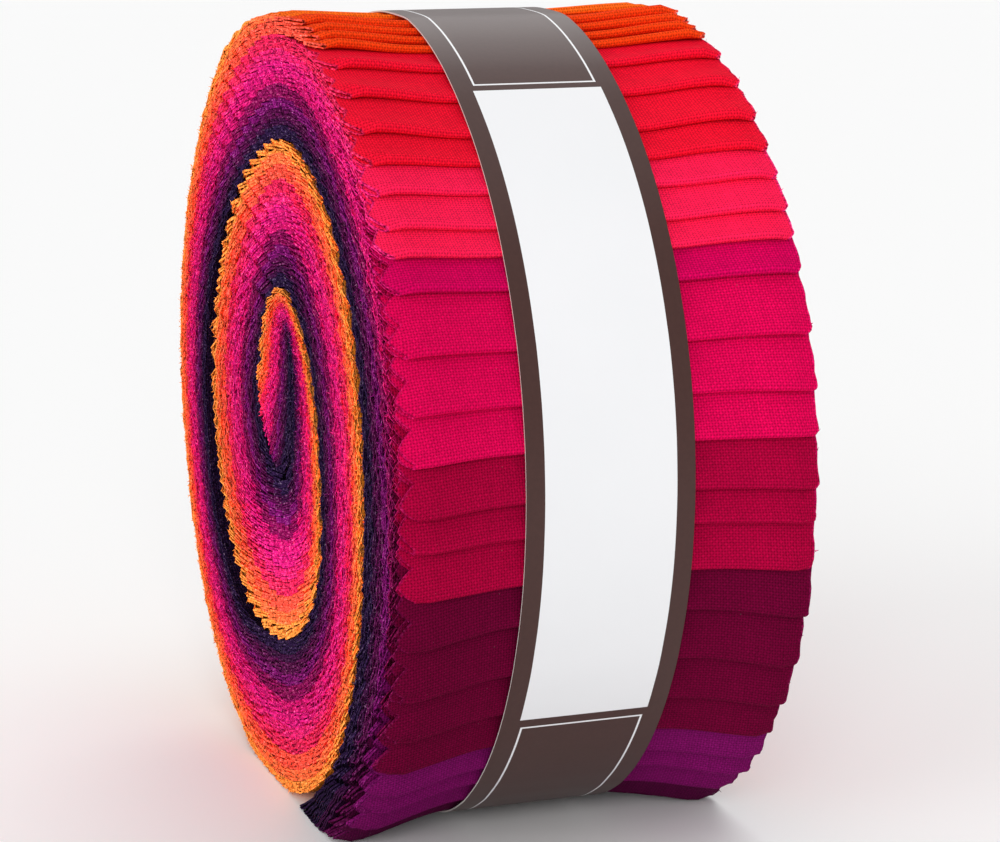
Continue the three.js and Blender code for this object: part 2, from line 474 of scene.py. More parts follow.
def fluffiness(strip, rows):
    """How far frayed threads fill the pinking: 0 near the folds and in the ribs, 1 elsewhere."""
    crisp = rise(rows["angle"], *CURLED_FROM) * (CURLED_CRISPNESS if strip < CURLED_STRIPS else 0)
    for angle, reach, crispness in zip(RIBS["angle"], RIBS["reach"], RIBS["crispness"]):
        near = 1 - rise(np.abs(rows["angle"] - angle), RIB_INSIDE * reach, RIB_OUTSIDE * reach)
        crisp = np.maximum(crisp, crispness * near)
    far = FLUFFY_FROM if strip < DARK_EDGES_FROM else DARK_FLUFFY_FROM
    return (1 - crisp) * rise(rows["length"], *far)


def pinked_edge(strip, rows, end):
    """How far out a strip's edge reaches, and where its tips are. end is -1 for the left end face and 1 for
    the right one."""
    turns = rows["teeth"] + (right_phase[strip] if end > 0 else 0)
    height = np.clip(tooth(turns), 0, 1)
    fluffy = fluffiness(strip, rows)
    depth = TOOTH_DEPTH * (1 - (1 - FLUFFY_DEPTH) * fluffy)
    low = strip >= LOW_STRIPS and end < 0
    if end > 0 or low:
        even = LOW_EVEN if low else ENDS_EVEN
        depth *= EVEN_DEPTH + (1 - EVEN_DEPTH) * rise(rows["length"], *even)
    elif strip < RIM_STRIPS:
        rim = rise(rows["angle"], *RIM_HIDDEN) * (1 - rise(rows["angle"], *RIM_SHOWS))
        depth *= 1 - (1 - EVEN_DEPTH) * rim
    radius = LOW_CORNER_RADIUS if low else CORNER_RADIUS
    corner = np.clip(1 - rows["length"] / radius, 0, 1)
    rounded = radius * (1 - np.sqrt(1 - corner**2))
    run = rows["side"] * rows["length"]
    knots = np.arange(run.min(), run.max() + EDGE_WANDER_LENGTH, EDGE_WANDER_LENGTH)
    wander = np.interp(run, knots, rng.normal(0, EDGE_WANDER, len(knots)))
    ragged = rng.normal(0, 1, len(height)) * (RAGGED + FLUFFY_RAGGED * fluffy)
    filled = FILLED_BACK * (TOOTH_DEPTH - depth) * fluffy
    reach = HALF_WIDTH - filled - depth * (1 - height) - rounded + ragged + wander
    if strip < RIM_STRIPS and end < 0:
        reach += RIM_STANDS_OUT * rise(rows["angle"], *CURLED_FROM)
    return np.maximum(reach, SHOWN_COLUMNS[-1] + EDGE_CLEARANCE), height


def strip_surface(strip, rows, x, reach):
    """The middle surface of a folded strip, a point for each row and each place across it, with the way out
    of the pile and the depth of one strip in it at each row. reach is how far out the edge lies."""
    angle, length, side = rows["angle"], rows["length"][:, None], rows["side"][:, None]
    inner = inner_face(angle)
    across = outer_face(angle) - inner
    count = strips_at(angle)
    depth = np.linalg.norm(across, axis=1)
    outward = (across / depth[:, None])[:, None, :]
    step = (depth / count)[:, None]
    base = inner + across * ((STRIP_COUNT - 0.5 - strip) / count)[:, None]
    free = free_end(x)
    height = LOOP_HELD + (LOOP_FREE - LOOP_HELD) * free
    height = height * (PINCHED_SHARE + (1 - PINCHED_SHARE) * rise(reach - np.abs(x), 0, PINCH_LENGTH))
    at_top = FOLD_ANGLES[strip] > TOP_FOLDS_FROM
    height = height * TOP_LOOP if at_top else height
    later = max(strip, 1)
    shown = math.radians(FOLD_ANGLES[later - 1] - FOLD_ANGLES[later]) * ROLL_RADIUS
    loop_reach = np.clip(LOOP_SHARE * shown, *LOOP_REACH)
    loop = step / 2 + np.maximum(height - step / 2, 0) * np.exp(-((length / loop_reach) ** 2))
    nose = np.clip(length / (NOSE_SHARE * loop), 0, 1)
    offset = -LAYER_OFFSET * step + 0.5 * loop * (1 + side * np.sqrt(nose * (2 - nose)))
    right = (x > 0).astype(int)
    fade = np.exp(-((length / FOLD_FADE) ** 2))
    offset = offset + (0 if at_top else flare_size[strip][right]) * free**2 * fade
    sag = sag_size[strip][right] * free**SAG_POWER + np.interp(x, WAVE_AT, fold_wave[strip])
    turned = np.radians(angle)
    upward = np.stack([np.sin(turned), np.cos(turned)], axis=-1)[:, None, :]
    points = base[:, None, :] + outward * offset[..., None] - upward * (sag * fade)[..., None]
    share = smooth(WAIST, "share", angle)[:, None] * waist(x)
    return points * (1 - share)[..., None], outward, step[:, 0]


def strip_columns():
    """The columns of points across a strip, and the least detail at which each is kept."""
    places = [*SHOWN_COLUMNS, HALF_WIDTH - EDGE_STRIP, HALF_WIDTH]
    details = []
    for place in places:
        deep = place in DEEP_COLUMNS or place == HALF_WIDTH
        near = place in NEAR_COLUMNS
        details.append(0 if deep else 1 if near else 2)
    columns = np.array([-place for place in places[::-1]] + places)
    return columns, np.array(details[::-1] + details)


def flat_places(x, points, rows, columns):
    """Where each point lies on the flat cloth: across it, and along it from the fold."""
    measured = points[:, np.argmin(np.abs(columns - MEASURED_COLUMN))]
    run = np.concatenate([[0], np.cumsum(np.linalg.norm(np.diff(measured, axis=0), axis=1))])
    run -= run[np.argmin(rows["length"])]
    return np.stack([x, np.repeat(run[:, None], len(columns), axis=1)], axis=-1)


def close_sheet(sheet, top, bottom):
    """Joins the two faces of the cloth along its pinked edges and across its cut ends."""
    for k in range(len(top) - 1):
        for end, turn in ((0, 1), (-1, -1)):
            rim = (top[k][end][1], top[k + 1][end][1], bottom[k + 1][end][1], bottom[k][end][1])
            sheet["faces"].append(rim[::turn])
    for k, turn in ((0, 1), (-1, -1)):
        cut = [i for _, i in bottom[k]] + [i for _, i in top[k][::-1]]
        sheet["faces"].append(tuple(cut[::turn]))


def make_strip(strip):
    """One folded strip as a closed sheet, with frayed threads along its pinked edges."""
    rows = strip_rows(strip)
    columns, details = strip_columns()
    keep = rows["detail"][:, None] >= details
    x = np.repeat(columns[None, :], len(rows["angle"]), axis=0)
    left, left_height = pinked_edge(strip, rows, -1)
    right, right_height = pinked_edge(strip, rows, 1)
    least = SHOWN_COLUMNS[-1] + EDGE_STRIP_CLEARANCE
    x[:, 0], x[:, -1] = -left, right
    x[:, 1] = -np.maximum(left - EDGE_STRIP, least)
    x[:, -2] = np.maximum(right - EDGE_STRIP, least)
    reach = np.where(x < 0, left[:, None], right[:, None])
    points, outward, step = strip_surface(strip, rows, x, reach)
    curl = TIP_CURL if strip < CURLED_STRIPS else 0.0
    for column, height in ((0, left_height), (-1, right_height)):
        away = rng.normal(0, EDGE_LIFT, len(step)) + curl * height**2 * rise(rows["angle"], *CURLED_FROM)
        points[:, column] += outward[:, 0] * away[:, None]
    fray = np.zeros(x.shape)
    pale = 1
    if strip >= DARK_EDGES_FROM:
        pale = DARK_EDGE + (1 - DARK_EDGE) * rise(rows["length"], *DARK_FLUFFY_FROM)
    fray[:, 0], fray[:, -1] = pale * (1 + left_height), pale * (1 + right_height)
    along = np.gradient(points, axis=0)
    along /= np.linalg.norm(along, axis=2)[..., None]
    normal = np.stack([along[..., 1], -along[..., 0]], axis=-1)
    half = np.minimum(CLOTH_THICKNESS, THICKEST_SHARE * step)[:, None, None] / 2
    uv = flat_places(x, points, rows, columns)
    sheet = {"verts": [], "uvs": [], "frays": [], "faces": [], "count": 0}
    skins = []
    for face in (1, -1):
        ids = add_skin(sheet, x, points + face * normal * half, uv, fray, keep)
        skins.append([[(k, i) for k, i in enumerate(row) if i >= 0] for row in ids.tolist()])
    top, bottom = skins
    sheet["faces"] += grid_faces(top) + [face[::-1] for face in grid_faces(bottom)]
    smooth_count = len(sheet["faces"])
    close_sheet(sheet, top, bottom)
    share = FEW_FRAYS + (1 - FEW_FRAYS) * fluffiness(strip, rows)
    for column in (0, -1):
        edge = {"x": x[:, column], "section": points[:, column], "along": along[:, column]}
        edge |= {"normal": normal[:, column], "run": rows["side"] * rows["length"]}
        add_frays(sheet, edge, share)
    return build_piece(f"strip_{strip + 1:02d}_{CLOTH_OF[strip]}", sheet, smooth_count)


def add_skin(sheet, x, section, uv, fray, keep):
    """Adds one face of the cloth, and gives back the number of each of its points, -1 where it has none."""
    height = pressed(section[..., 1]) + CENTRE_HEIGHT
    placed = np.stack([x, section[..., 0], height], axis=-1)
    ids = np.full(x.shape, -1)
    ids[keep] = np.arange(keep.sum()) + sheet["count"]
    sheet["count"] += int(keep.sum())
    sheet["verts"].append(placed[keep])
    sheet["uvs"].append(uv[keep])
    sheet["frays"].append(fray[keep])
    return ids


def grid_faces(rows):
    """Faces between rows of points, each a list of columns and numbers. Where one row holds more columns
    than the next, its extra points become corners of the wider faces."""
    faces = []
    for before, after in zip(rows[:-1], rows[1:]):
        coarse = sorted({k for k, _ in before} & {k for k, _ in after})
        for left, right in zip(coarse[:-1], coarse[1:]):
            near = [i for k, i in before if left <= k <= right]
            far = [i for k, i in after if left <= k <= right]
            faces.append((*near[::-1], *far))
    return faces


# Loose thread ends along the cut edges: how many to a tooth, how many are left where the edge is not fluffy,
# how far they reach, how thick they are, how far they lean over, and where they begin
FRAYS_PER_TOOTH = 6.4
FEW_FRAYS = 0.1
FRAY_REACH = (0.3, 0.75)
FRAY_WIDTH = (0.08, 0.15)
FRAY_LEAN = 2.6
FRAY_ROOT = (-0.1, 0.16)
FRAY_SPREAD = 0.08


def add_frays(sheet, edge, share):
    """Loose thread ends that stand out from a pinked edge, each a slim three-sided spike. share is how much
    of their full number there is in each place."""
    run = np.abs(np.diff(edge["run"])) * share[1:]
    passed = np.concatenate([[0], np.cumsum(run)])
    count = int(passed[-1] / TOOTH_PITCH * FRAYS_PER_TOOTH)
    spot = np.interp(rng.uniform(0, passed[-1], count), passed, np.arange(len(passed)))
    row = np.minimum(spot.astype(int), len(passed) - 2)
    part = (spot - row)[:, None]
    at = {}
    for name, value in edge.items():
        value = value.reshape(len(passed), -1)
        at[name] = value[row] * (1 - part) + value[row + 1] * part
    end = np.sign(at["x"])
    level = np.concatenate([np.zeros((count, 1)), at["along"]], axis=1)
    upright = np.concatenate([np.zeros((count, 1)), at["normal"]], axis=1)
    root = np.concatenate([at["x"] + end * rng.uniform(*FRAY_ROOT, (count, 1)), at["section"]], axis=1)
    root += upright * rng.uniform(-FRAY_SPREAD, FRAY_SPREAD, (count, 1))
    lean = rng.normal(0, FRAY_LEAN, (count, 2))
    heading = level * lean[:, :1] + upright * lean[:, 1:]
    heading[:, :1] = end
    heading /= np.linalg.norm(heading, axis=1)[:, None]
    reach = rng.uniform(*FRAY_REACH, (count, 1))
    width = rng.uniform(*FRAY_WIDTH, (count, 1))
    corners = []
    for turn in range(3):
        bend = 2 * math.pi * turn / 3
        corners.append(root + width * (math.cos(bend) * level + math.sin(bend) * upright))
    corners.append(root + heading * reach)
    spikes = np.stack(corners, axis=1)
    spikes[..., 2] = pressed(spikes[..., 2]) + CENTRE_HEIGHT
    first = sheet["count"] + 4 * np.arange(count)[:, None, None]
    sides = np.array([(0, 1, 3), (1, 2, 3), (2, 0, 3), (2, 1, 0)])
    turned = np.where((end > 0)[..., None], sides[None], sides[None, :, ::-1])
    sheet["faces"] += [tuple(face) for face in (turned + first).reshape(-1, 3).tolist()]
    sheet["count"] += 4 * count
    sheet["verts"].append(spikes.reshape(-1, 3))
    sheet["uvs"].append(np.repeat(np.concatenate([root[:, :1], at["run"]], axis=1), 4, axis=0))
    sheet["frays"].append(np.repeat(rng.uniform(1, 2, count), 4))


def build_piece(name, sheet, smooth_count):
    """Makes the mesh, with each point's place on the flat cloth as its UVs."""
    mesh = bpy.data.meshes.new(name)
    mesh.from_pydata((np.concatenate(sheet["verts"]) * MM).tolist(), [], sheet["faces"])
    mesh.polygons.foreach_set("use_smooth", np.arange(len(sheet["faces"])) < smooth_count)
    corner = np.zeros(len(mesh.loops), np.int32)
    mesh.loops.foreach_get("vertex_index", corner)
    flat = (np.concatenate(sheet["uvs"]) * MM).astype(np.float32)
    cut = mesh.uv_layers.new(name="cut")
    cut.uv.foreach_set("vector", flat[corner].ravel())
    fray = mesh.attributes.new("fray", "FLOAT", "POINT")
    fray.data.foreach_set("value", np.concatenate(sheet["frays"]).astype(np.float32))
    mesh.update()
    piece = bpy.data.objects.new(name, mesh)
    bpy.context.scene.collection.objects.link(piece)
    return piece


# Materials

def make_node(tree, kind, inputs=None, **settings):
    made = tree.nodes.new(kind)
    for name, value in settings.items():
        setattr(made, name, value)
    for name, value in (inputs or {}).items():
        if isinstance(value, bpy.types.NodeSocket):
            tree.links.new(value, made.inputs[name])
        else:
            made.inputs[name].default_value = value
    return made


def maths(tree, operation, *values, clamp=False):
    """A Math node's output. The values may be numbers or sockets."""
    made = make_node(tree, "ShaderNodeMath", dict(enumerate(values)), operation=operation)
    made.use_clamp = clamp
    return made.outputs[0]


def mix_colours(tree, factor, first, second):
    made = make_node(tree, "ShaderNodeMix", {}, data_type="RGBA")
    for socket, value in ((made.inputs[0], factor), (made.inputs[6], first), (made.inputs[7], second)):
        if isinstance(value, bpy.types.NodeSocket):
            tree.links.new(value, socket)
        else:
            socket.default_value = value
    return made.outputs[2]


def linear(colour):
    """A colour given as 0 to 255, as a shader takes it."""
    share = np.array(colour) / 255
    value = np.where(share <= 0.04045, share / 12.92, ((share + 0.055) / 1.055) ** 2.4)
    return (*value.tolist(), 1.0)


# The cotton: how finely its noises run, in waves to the metre, and how its two threads are stretched
BEND_SCALE = 420.0
FIBRE_SCALE = 2600.0
BROAD_SCALE = 60.0
LINT_SCALE = 900.0
WARP_STRETCH = (2300.0, 160.0, 1.0)
WEFT_STRETCH = (160.0, 2300.0, 1.0)

# How far the threads bend, how sharp the pits between them are, and how far fibres stand up beside threads
THREAD_BEND = 1.6
PIT_POWER = 0.6
FIBRE_HEIGHT = 0.6

# How strongly each effect darkens or lightens the cloth, as a gain and what is added to it. The thread pits
# are painted shade between the threads, and the crossings are painted lighter and darker by turns, as painted
# highlight and shade. The fibre, yarn and broad noises are random tone. On the frayed edges FUZZ_SHADE gives
# random light and dark specks, painted to stand in for the light and shade among tufts of loose fibre, and
# the tip gain makes the tips lighter than the notches, partly as paler fray and partly as painted shade in
# them.
THREAD_SHADE = (0.72, 0.38)
OVER_SHADE = (0.14, 1.0)
FIBRE_SHADE = (0.6, 0.7)
YARN_SHADE = (0.5, 0.75)
BROAD_SHADE = (0.3, 0.87)
FUZZ_SHADE = (4.6, 0.8)
TIP_FRAY_AND_NOTCH_SHADE = 0.6
FUZZ_LEAST = 0.12

# Pale lint and worn fibre ends: above which value of their noise they show, and how fast
LINT_COLOUR = (0.9, 0.72, 0.82, 1.0)
LINT_FROM, LINT_GAIN = 0.79, 2.0
WORN_FROM, WORN_GAIN = 0.6, 3.0
WORN_SHADE = (0.5, 0.2)

COTTON_ROUGHNESS = 0.9
COTTON_SPECULAR = 0.04
COTTON_BUMP = {"Strength": 0.6, "Distance": 0.00015}


def scaled(tree, colour, factor):
    made = make_node(tree, "ShaderNodeVectorMath", {0: colour, "Scale": factor}, operation="SCALE")
    return made.outputs[0]


def stretched(tree, place, stretch):
    made = make_node(tree, "ShaderNodeVectorMath", {0: place, 1: stretch}, operation="MULTIPLY")
    return made.outputs[0]


def noise(tree, place, scale, detail):
    made = make_node(tree, "ShaderNodeTexNoise", {"Vector": place, "Scale": scale, "Detail": detail})
    return made.outputs[0]


def past(tree, value, least, gain):
    """0 up to a value, then rising to 1."""
    return maths(tree, "MULTIPLY", maths(tree, "SUBTRACT", value, least), gain, clamp=True)


def make_weave_group():
    """Plain-weave cotton: thread crossings, with painted shade in the pits between the threads and painted
    highlight and shade on the crossings, uneven yarn, lint, and frayed edges that are paler partly as real
    fray and partly by painted light.
    """
    group = bpy.data.node_groups.new("woven cotton", "ShaderNodeTree")
    face = group.interface
    face.new_socket("Dye", in_out="INPUT", socket_type="NodeSocketColor")
    face.new_socket("Fluff with painted light", in_out="INPUT", socket_type="NodeSocketColor")
    face.new_socket("Colour", in_out="OUTPUT", socket_type="NodeSocketColor")
    face.new_socket("Height", in_out="OUTPUT", socket_type="NodeSocketFloat")
    given = group.nodes.new("NodeGroupInput")
    place = make_node(group, "ShaderNodeUVMap", uv_map="cut").outputs[0]
    space = make_node(group, "ShaderNodeTexCoord").outputs["Object"]
    parted = make_node(group, "ShaderNodeSeparateXYZ", {0: place})
    turn = math.pi / (THREAD_PITCH * MM)

    # The threads: waves across and along the cloth, with pits where both lie low. The pits feed the bump, and
    # the cloth colour is also darkened in them as painted shade between the threads.
    bend = noise(group, place, BEND_SCALE, 1.0)
    between_threads, waves = [], []
    for axis in (0, 1):
        straight = maths(group, "MULTIPLY", parted.outputs[axis], turn)
        waves.append(maths(group, "SINE", maths(group, "MULTIPLY_ADD", bend, THREAD_BEND, straight)))
        between_threads.append(maths(group, "SUBTRACT", 1.0, maths(group, "ABSOLUTE", waves[-1])))
    pits = maths(group, "POWER", maths(group, "MULTIPLY", *between_threads), PIT_POWER)
    threads = maths(group, "SUBTRACT", 1.0, pits)
    # The crossings are painted lighter and darker by turns, as painted highlight and shade on threads lying
    # two ways
    over = maths(group, "MULTIPLY", *waves)

    # The dyed cloth
    fine = noise(group, space, FIBRE_SCALE, 2.0)
    broad = noise(group, place, BROAD_SCALE, 3.0)
    warp = noise(group, stretched(group, place, WARP_STRETCH), 1.0, 1.0)
    weft = noise(group, stretched(group, place, WEFT_STRETCH), 1.0, 1.0)
    yarn = maths(group, "MULTIPLY", maths(group, "ADD", warp, weft), 0.5)
    flat = maths(group, "MULTIPLY_ADD", threads, *THREAD_SHADE)
    for value, shade in ((over, OVER_SHADE), (fine, FIBRE_SHADE), (yarn, YARN_SHADE), (broad, BROAD_SHADE)):
        flat = maths(group, "MULTIPLY", flat, maths(group, "MULTIPLY_ADD", value, *shade))

    # The frayed edges: the edge colour, with random light and dark specks painted as the light and shade
    # among loose fibres, and the tips lighter than the notches, partly as paler fray and partly as painted
    # shade
    fray = make_node(group, "ShaderNodeAttribute", attribute_name="fray").outputs["Fac"]
    cut = maths(group, "MULTIPLY", fray, 1.0, clamp=True)
    tip = maths(group, "SUBTRACT", fray, 1.0, clamp=True)
    fuzz_light_and_shade = maths(group, "MULTIPLY_ADD", maths(group, "SUBTRACT", fine, 0.5), *FUZZ_SHADE)
    fuzz_light_and_shade = maths(group, "ADD", fuzz_light_and_shade, maths(group, "MULTIPLY", tip, TIP_FRAY_AND_NOTCH_SHADE))
    fuzz_light_and_shade = maths(group, "MAXIMUM", fuzz_light_and_shade, FUZZ_LEAST)
    cloth = scaled(group, given.outputs["Dye"], flat)
    fluff_with_painted_light = scaled(group, given.outputs["Fluff with painted light"], fuzz_light_and_shade)
    dyed = mix_colours(group, cut, cloth, fluff_with_painted_light)

    # Lint on the cloth, and worn fibre ends on the edges
    lint = past(group, noise(group, place, LINT_SCALE, 1.0), LINT_FROM, LINT_GAIN)
    worn = past(group, fine, WORN_FROM, WORN_GAIN)
    worn = maths(group, "MULTIPLY", worn, maths(group, "MULTIPLY_ADD", tip, *WORN_SHADE))
    pale = maths(group, "MAXIMUM", lint, maths(group, "MULTIPLY", cut, worn))
    colour = mix_colours(group, pale, dyed, LINT_COLOUR)
    height = maths(group, "ADD", threads, maths(group, "MULTIPLY", fine, FIBRE_HEIGHT))
    result = group.nodes.new("NodeGroupOutput")
    group.links.new(colour, result.inputs["Colour"])
    group.links.new(height, result.inputs["Height"])
    return group


def make_material(name, roughness, specular):
    """A plain material, with its node tree and its shader."""
    material = bpy.data.materials.new(name)
    material.use_nodes = True
    shader = material.node_tree.nodes["Principled BSDF"]
    shader.inputs["Roughness"].default_value = roughness
    shader.inputs["Specular IOR Level"].default_value = specular
    return material, material.node_tree, shader


def make_cloth_material(cloth, colours, weave):
    material, tree, shader = make_material(f"cotton {cloth}", COTTON_ROUGHNESS, COTTON_SPECULAR)
    woven = make_node(tree, "ShaderNodeGroup", {}, node_tree=weave)
    woven.inputs["Dye"].default_value = linear(colours["dye"])
    woven.inputs["Fluff with painted light"].default_value = linear(colours["fluff_with_painted_light"])
    bump = make_node(tree, "ShaderNodeBump", {"Height": woven.outputs["Height"], **COTTON_BUMP})
    tree.links.new(woven.outputs["Colour"], shader.inputs["Base Color"])
    tree.links.new(bump.outputs[0], shader.inputs["Normal"])
    return material


# The paper band, in millimetres
BAND_WIDTH = 25.6
PAPER_THICKNESS = 0.22
PAPER_CLEARANCE = 0.12
BAND_CLEAR_OF_FLOOR = 0.3
BAND_STEPS = 260
BAND_ROWS = 4
BAND_MEAN_RADIUS = 64
BAND_MARGIN = 1
OUTLINE_SIDES = 180
LAP_LENGTH = 14.0
LAP_ANGLE = 200.0
LAP_RAMP = 4
LAP_GAP = 0.05
PANEL_HALF_WIDTH = 10.0
PANEL_FROM, PANEL_TO = -33.3, 57.8
FRAME_FROM, FRAME_TO = 58.9, 325.2
FRAME_HALF_WIDTH = 9.6
LINE_WIDTH = 0.32
WRAP_FROM = 90.0

# The paper: its two tones of brown, of the white panel and of its bare inside, as 0 to 255
BROWN = ((60, 34, 30), (70, 42, 37))
WHITE = ((230, 231, 233), (236, 236, 238))
BARE = ((206, 200, 194), (238, 234, 230))
PAPER_GRAIN = 1500.0
PAPER_BROAD_GRAIN = 45.0
BARE_GRAIN = 2500.0
COATED_ROUGHNESS, COATED_SPECULAR = 0.4, 0.35
BARE_ROUGHNESS, BARE_SPECULAR = 0.8, 0.5
PAPER_BUMP = {"Strength": 0.12, "Distance": 0.00005}
PAPER_SMOOTH_ANGLE = 40


def taut_outline(points, distance, sides):
    """A taut outline round points, a set distance outside them, as winding angles and radii."""
    turned = np.linspace(0, 2 * math.pi, sides, endpoint=False)
    ways = np.stack([np.cos(turned), np.sin(turned)], axis=-1)
    reach = (points @ ways.T).max(axis=0) + distance
    following = np.roll(reach, -1)
    gap = 2 * math.pi / sides
    along = (following - reach * math.cos(gap)) / math.sin(gap)
    corners = ways * reach[:, None] + np.stack([-ways[:, 1], ways[:, 0]], axis=-1) * along[:, None]
    angle = np.degrees(np.arctan2(corners[:, 1], -corners[:, 0])) % TURN
    radius = np.linalg.norm(corners, axis=1)
    order = np.argsort(angle)
    return angle[order], radius[order]


def make_band(strips):
    """The paper band: a flat strip wrapped taut round the waist, with its end lapped at the back."""
    cloth = []
    for strip in strips:
        co = np.zeros(len(strip.data.vertices) * 3)
        strip.data.vertices.foreach_get("co", co)
        co = co.reshape(-1, 3) / MM
        cloth.append(co[np.abs(co[:, 0]) < BAND_WIDTH / 2 + BAND_MARGIN, 1:])
    cloth = np.concatenate(cloth) - (0, CENTRE_HEIGHT)
    angle, radius = taut_outline(cloth, PAPER_CLEARANCE, OUTLINE_SIDES)
    bpy.ops.object.select_all(action="DESELECT")
    bpy.ops.mesh.primitive_grid_add(x_subdivisions=BAND_STEPS, y_subdivisions=BAND_ROWS, size=1)
    band = bpy.context.active_object
    band.name = "paper_band"
    mesh = band.data
    co = np.zeros(len(mesh.vertices) * 3)
    mesh.vertices.foreach_get("co", co)
    co = co.reshape(-1, 3)
    lap = math.degrees(LAP_LENGTH / BAND_MEAN_RADIUS)
    turned = LAP_ANGLE + (co[:, 0] + 0.5) * (TURN + lap)
    over = np.clip((turned - LAP_ANGLE - TURN + LAP_RAMP) / LAP_RAMP, 0, 1)
    round_and_round = np.concatenate([angle - TURN, angle, angle + TURN, angle + 2 * TURN])
    hoop = np.interp(turned, round_and_round, np.tile(radius, 4))
    hoop = hoop + over * (PAPER_THICKNESS + LAP_GAP)
    section = section_point(turned, hoop)
    height = np.maximum(section[:, 1] + CENTRE_HEIGHT, BAND_CLEAR_OF_FLOOR)
    placed = np.stack([co[:, 1] * BAND_WIDTH, section[:, 0], height], axis=-1)
    uv = mesh.uv_layers.new(name="print")
    corner = np.zeros(len(mesh.loops), np.int32)
    mesh.loops.foreach_get("vertex_index", corner)
    flat = np.stack([co[:, 1] * BAND_WIDTH * MM, turned / TURN], axis=-1)
    uv.uv.foreach_set("vector", flat[corner].astype(np.float32).ravel())
    mesh.vertices.foreach_set("co", (placed * MM).ravel())
    for layer in [layer.name for layer in mesh.uv_layers if layer.name != "print"]:
        mesh.uv_layers.remove(mesh.uv_layers[layer])
    mesh.update()
    bpy.ops.object.mode_set(mode="EDIT")
    bpy.ops.mesh.select_all(action="SELECT")
    bpy.ops.mesh.normals_make_consistent(inside=False)
    bpy.ops.object.mode_set(mode="OBJECT")
    outward = mesh.polygons[0].normal.dot(mesh.polygons[0].center - Vector((0, 0, CENTRE_HEIGHT * MM)))
    if outward < 0:
        mesh.flip_normals()
    mesh.materials.append(make_print_material())
    mesh.materials.append(make_bare_paper_material())
    solid = band.modifiers.new("paper", "SOLIDIFY")
    solid.thickness = PAPER_THICKNESS * MM
    solid.offset = 1
    solid.material_offset = 1
    solid.material_offset_rim = 1
    bpy.ops.object.modifier_apply(modifier=solid.name)
    bpy.ops.object.shade_smooth_by_angle(angle=math.radians(PAPER_SMOOTH_ANGLE))
    return band


def inside(tree, value, low, high):
    """A mask: 1 between two values."""
    above = maths(tree, "GREATER_THAN", value, low)
    below = maths(tree, "LESS_THAN", value, high)
    return maths(tree, "MULTIPLY", above, below)


def rectangle(tree, along, low, high, across, half_width):
    """A mask: 1 within a part of the band's length and of its width."""
    within = maths(tree, "LESS_THAN", across, half_width)
    return maths(tree, "MULTIPLY", inside(tree, along, low, high), within)


def make_print_material():
    """Coated paper: dark brown, with a bare white panel and a fine white frame."""
    material, tree, shader = make_material("printed paper", COATED_ROUGHNESS, COATED_SPECULAR)
    place = make_node(tree, "ShaderNodeUVMap", uv_map="print").outputs[0]
    parted = make_node(tree, "ShaderNodeSeparateXYZ", {0: place})
    across = maths(tree, "MULTIPLY", maths(tree, "ABSOLUTE", parted.outputs[0]), 1 / MM)
    turned = maths(tree, "MULTIPLY", parted.outputs[1], TURN)
    front = maths(tree, "FLOORED_MODULO", maths(tree, "ADD", turned, WRAP_FROM), TURN)
    front = maths(tree, "SUBTRACT", front, WRAP_FROM)
    back = maths(tree, "FLOORED_MODULO", turned, TURN)
    panel = rectangle(tree, front, PANEL_FROM, PANEL_TO, across, PANEL_HALF_WIDTH)
    line = math.degrees(LINE_WIDTH / BAND_MEAN_RADIUS)
    outer = rectangle(tree, back, FRAME_FROM, FRAME_TO, across, FRAME_HALF_WIDTH)
    inner = rectangle(tree, back, FRAME_FROM + line, FRAME_TO - line, across, FRAME_HALF_WIDTH - LINE_WIDTH)
    frame_line = maths(tree, "SUBTRACT", outer, inner, clamp=True)
    white = maths(tree, "MAXIMUM", panel, frame_line)
    grain = make_node(tree, "ShaderNodeTexCoord").outputs["Object"]
    fine = noise(tree, grain, PAPER_GRAIN, 2.0)
    broad = noise(tree, grain, PAPER_BROAD_GRAIN, 2.0)
    brown = mix_colours(tree, fine, *(linear(tone) for tone in BROWN))
    paper = mix_colours(tree, broad, *(linear(tone) for tone in WHITE))
    bump = make_node(tree, "ShaderNodeBump", {"Height": fine, **PAPER_BUMP})
    tree.links.new(mix_colours(tree, white, brown, paper), shader.inputs["Base Color"])
    tree.links.new(bump.outputs[0], shader.inputs["Normal"])
    return material


def make_bare_paper_material():
    """The uncoated inside and the cut edges of the paper."""
    material, tree, shader = make_material("bare paper", BARE_ROUGHNESS, BARE_SPECULAR)
    grain = make_node(tree, "ShaderNodeTexCoord").outputs["Object"]
    fine = noise(tree, grain, BARE_GRAIN, 3.0)
    tree.links.new(mix_colours(tree, fine, *(linear(tone) for tone in BARE)), shader.inputs["Base Color"])
    return material


# Floor, light and camera

CAMERA_PLACE = (-0.14603, -0.43099, 0.14886)
CAMERA_AZIMUTH = 19.44
CAMERA_ELEVATION = 11.25
CAMERA_ROLL = -0.233
CAMERA_LENS = 103.28
SENSOR_WIDTH = 36
NEAREST_SEEN = 0.01
FLOOR_SIZE = 8
FLOOR_COLOUR = (0.96, 0.96, 0.96, 1)
FLOOR_ROUGHNESS, FLOOR_SPECULAR = 0.9, 0.0
WORLD_COLOUR = (1, 1, 1, 1)
WORLD_STRENGTH = 0.5
SOFTBOXES = [
    {"name": "softbox front", "place": (-0.35, -0.9, 0.42), "strength": 1.02, "spread": 30},
    {"name": "softbox left", "place": (-1.0, -0.35, 0.35), "strength": 0.85, "spread": 40},
    {"name": "softbox above", "place": (0.1, -0.1, 1.0), "strength": 0.5, "spread": 50},
    {"name": "softbox behind", "place": (0.3, 0.7, 0.65), "strength": 0.6, "spread": 40},
]


